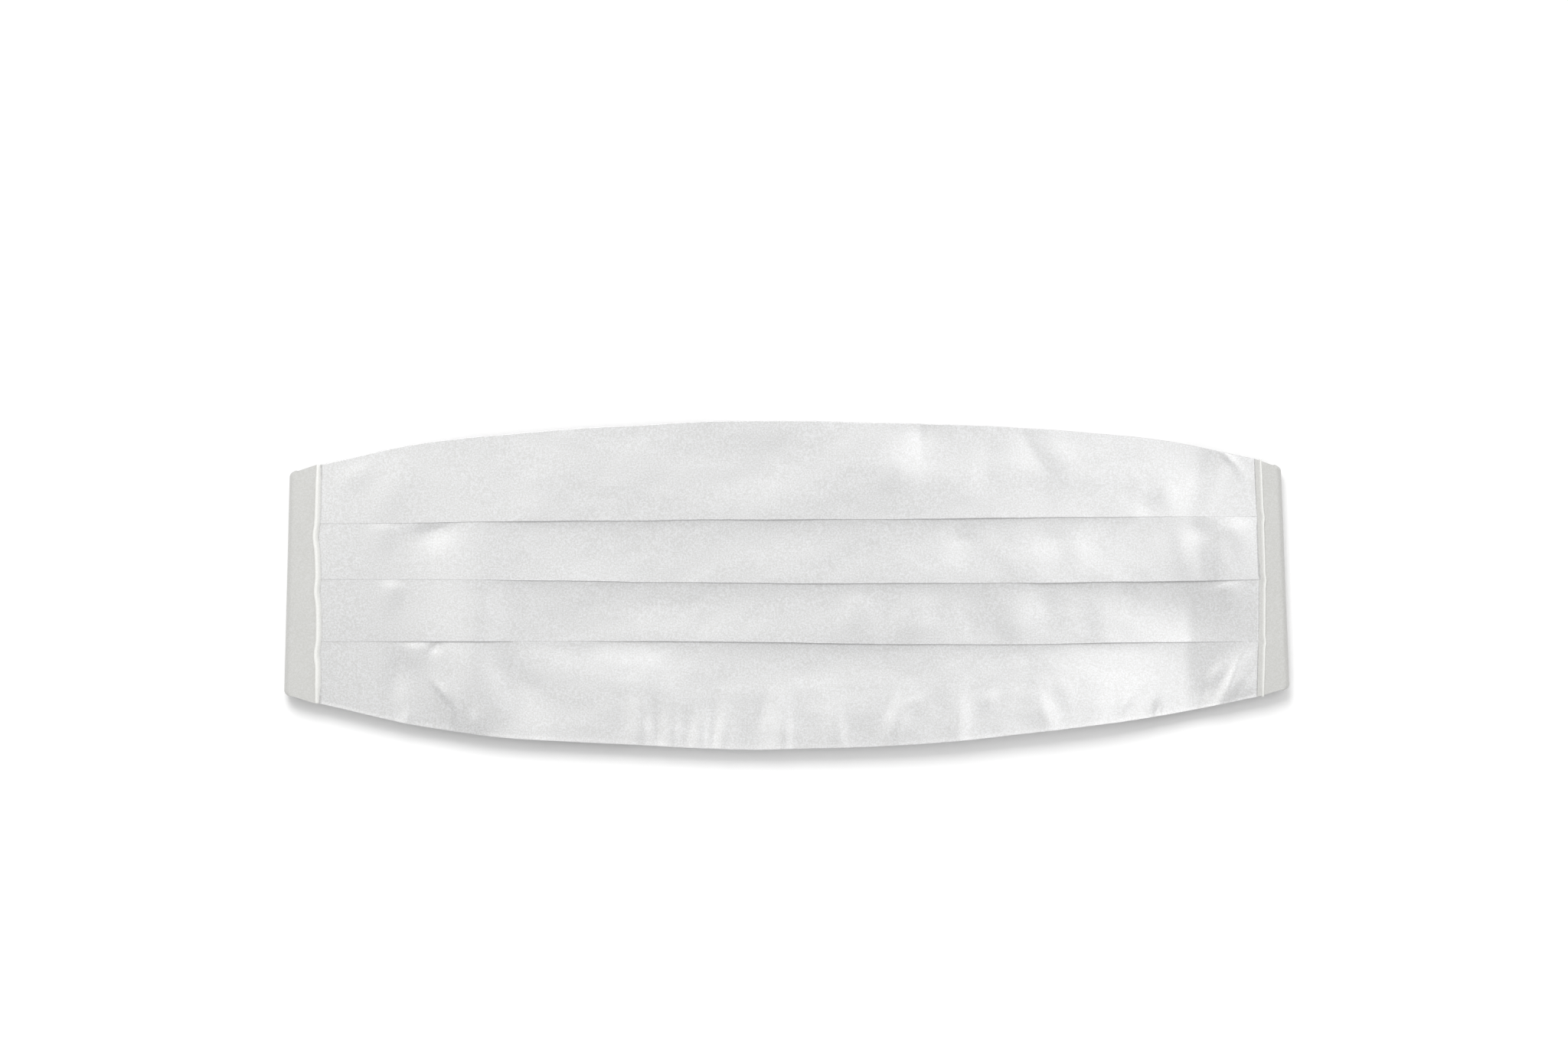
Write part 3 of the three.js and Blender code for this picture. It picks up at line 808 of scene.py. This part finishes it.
def clothMaterial(name, finish):
    material, nodes, links, shader = newMaterial(name)
    weave = nodes.new("ShaderNodeGroup")
    weave.node_tree = satinWeave
    weave.inputs["Cloth Colour"].default_value = (*finish["colour"], 1)
    # the glint colour is a painted highlight: flecks of sparkle painted into the base colour
    weave.inputs["Painted Glint Colour"].default_value = (*finish["paintedGlint"], 1)
    weave.inputs["Twill Per Metre"].default_value = finish["twill"]
    bump = nodes.new("ShaderNodeBump")
    bump.inputs["Strength"].default_value = finish["relief"]
    bump.inputs["Distance"].default_value = finish["reliefDepth"] * mm
    links.new(weave.outputs["Colour"], shader.inputs["Base Color"])
    links.new(weave.outputs["Relief"], bump.inputs["Height"])
    links.new(bump.outputs["Normal"], shader.inputs["Normal"])
    shader.inputs["Roughness"].default_value = finish["roughness"]
    shader.inputs["IOR"].default_value = finish["ior"]
    shader.inputs["Specular IOR Level"].default_value = finish["specular"]
    shader.inputs["Sheen Weight"].default_value = finish["sheen"]
    shader.inputs["Sheen Roughness"].default_value = 0.4
    return material


# looks of the cloths; twill per metre, depth of the relief in mm; each glint colour is a painted highlight,
# the lighter sparkle painted into the cloth's base colour
finishes = {
    "satin": {
        "colour": (0.412, 0.411, 0.405),
        "paintedGlint": (0.558, 0.563, 0.574),
        "twill": 1100,
        "roughness": 0.28,
        "relief": 0.5,
        "reliefDepth": 0.02,
        "ior": 2.15,
        "specular": 1.0,
        "sheen": 0.02,
    },
    "panelSatin": {
        "colour": (0.505, 0.504, 0.485),
        "paintedGlint": (0.563, 0.563, 0.551),
        "twill": 800,
        "roughness": 0.5,
        "relief": 0.5,
        "reliefDepth": 0.02,
        "ior": 1.5,
        "specular": 0.4,
        "sheen": 0.1,
    },
    "pipingSatin": {
        "colour": (0.735, 0.737, 0.71),
        "paintedGlint": (0.795, 0.797, 0.775),
        "twill": 800,
        "roughness": 0.45,
        "relief": 0.4,
        "reliefDepth": 0.04,
        "ior": 1.5,
        "specular": 0.5,
        "sheen": 0.1,
    },
    "webbing": {
        "colour": (0.72, 0.72, 0.68),
        "paintedGlint": (0.78, 0.78, 0.75),
        "twill": 900,
        "roughness": 0.8,
        "relief": 0.8,
        "reliefDepth": 0.2,
        "ior": 1.5,
        "specular": 0.3,
        "sheen": 0.2,
    },
}

# nickel plate with a little unevenness
plate = {
    "colour": (0.62, 0.61, 0.59),
    "worn": (0.52, 0.51, 0.49),
    "roughness": 0.24,
    "patches": 220,  # per metre
    "relief": 0.1,
    "reliefDepth": 0.02,
}


def plateMaterial():
    material, nodes, links, shader = newMaterial("nickelPlate")
    shader.inputs["Metallic"].default_value = 1
    shader.inputs["Roughness"].default_value = plate["roughness"]
    place = nodes.new("ShaderNodeTexCoord")
    patches = nodes.new("ShaderNodeTexNoise")
    patches.inputs["Scale"].default_value = plate["patches"]
    patches.inputs["Detail"].default_value = 4
    links.new(place.outputs["Object"], patches.inputs["Vector"])
    tint = nodes.new("ShaderNodeMix")
    tint.data_type = "RGBA"
    tint.inputs[6].default_value = (*plate["colour"], 1)
    tint.inputs[7].default_value = (*plate["worn"], 1)
    links.new(patches.outputs["Fac"], tint.inputs["Factor"])
    links.new(tint.outputs[2], shader.inputs["Base Color"])
    bump = nodes.new("ShaderNodeBump")
    bump.inputs["Strength"].default_value = plate["relief"]
    bump.inputs["Distance"].default_value = plate["reliefDepth"] * mm
    links.new(patches.outputs["Fac"], bump.inputs["Height"])
    links.new(bump.outputs["Normal"], shader.inputs["Normal"])
    return material


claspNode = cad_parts["clasp"]
claspNode.data.materials.clear()
claspNode.data.materials.append(plateMaterial())
cloths = {name: clothMaterial(name, finish) for name, finish in finishes.items()}
frontPiece.data.materials.append(cloths["satin"])
for name in ends:
    panelPieces[name].data.materials.append(cloths["panelSatin"])
    pipingPieces[name].data.materials.append(cloths["pipingSatin"])
    strapPieces[name].data.materials.append(cloths["webbing"])
    stitchPieces[name].data.materials.append(cloths["pipingSatin"])
print("materials made")

# what each piece stands for
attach(frontPiece, "root")
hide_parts("pleated_front")
for name in ends:
    for piece, node, slotName in (
        (panelPieces[name], "_side_panel", "panel_satin"),
        (pipingPieces[name], "_piping", "piping_satin"),
        (strapPieces[name], "_strap", "webbing"),
    ):
        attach(piece, "root")
        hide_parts(name + node)
    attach(stitchPieces[name], "root")

# pale floor and soft studio light
studio = {
    "floorSize": 6,  # metres, as for the lamps; power in watts
    "floorWhite": 0.95,
    "around": 0.68,
    "lamps": {
        "key": {"at": (-0.25, 1.0, 1.6), "wide": 0.75, "deep": 0.75, "power": 19.6},
        "overhead": {"at": (0.57, 0.3, 1.75), "wide": 0.68, "deep": 0.75, "power": 2.85},
        "leftFill": {"at": (-0.52, 0.25, 1.7), "wide": 0.36, "deep": 0.65, "power": 1.05,
                     "tint": (1, 0.995, 0.965)},
    },
}

bpy.ops.mesh.primitive_plane_add(size=studio["floorSize"], location=(0, 0, 0))
floor = bpy.context.active_object
floor.name = "floor"
floorPaint, _, _, floorShader = newMaterial("floorPaint")
floorShader.inputs["Base Color"].default_value = (studio["floorWhite"],) * 3 + (1,)
floorShader.inputs["Roughness"].default_value = 0.9
floorShader.inputs["Specular IOR Level"].default_value = 0
floor.data.materials.append(floorPaint)

world = bpy.data.worlds.new("studio")
world.use_nodes = True
world.node_tree.nodes["Background"].inputs["Color"].default_value = (1, 1, 1, 1)
world.node_tree.nodes["Background"].inputs["Strength"].default_value = studio["around"]
bpy.context.scene.world = world

for lampName, lamp in studio["lamps"].items():
    light = bpy.data.lights.new(lampName, "AREA")
    light.shape = "RECTANGLE"
    light.size = lamp["wide"]
    light.size_y = lamp["deep"]
    light.energy = lamp["power"]
    light.color = lamp.get("tint", (1, 1, 1))
    softbox = bpy.data.objects.new(lampName, light)
    softbox.location = lamp["at"]
    softbox.rotation_euler = (-Vector(lamp["at"])).to_track_quat("-Z", "Y").to_euler()
    bpy.context.collection.objects.link(softbox)
bpy.context.scene.view_settings.view_transform = "Standard"
print("studio set")
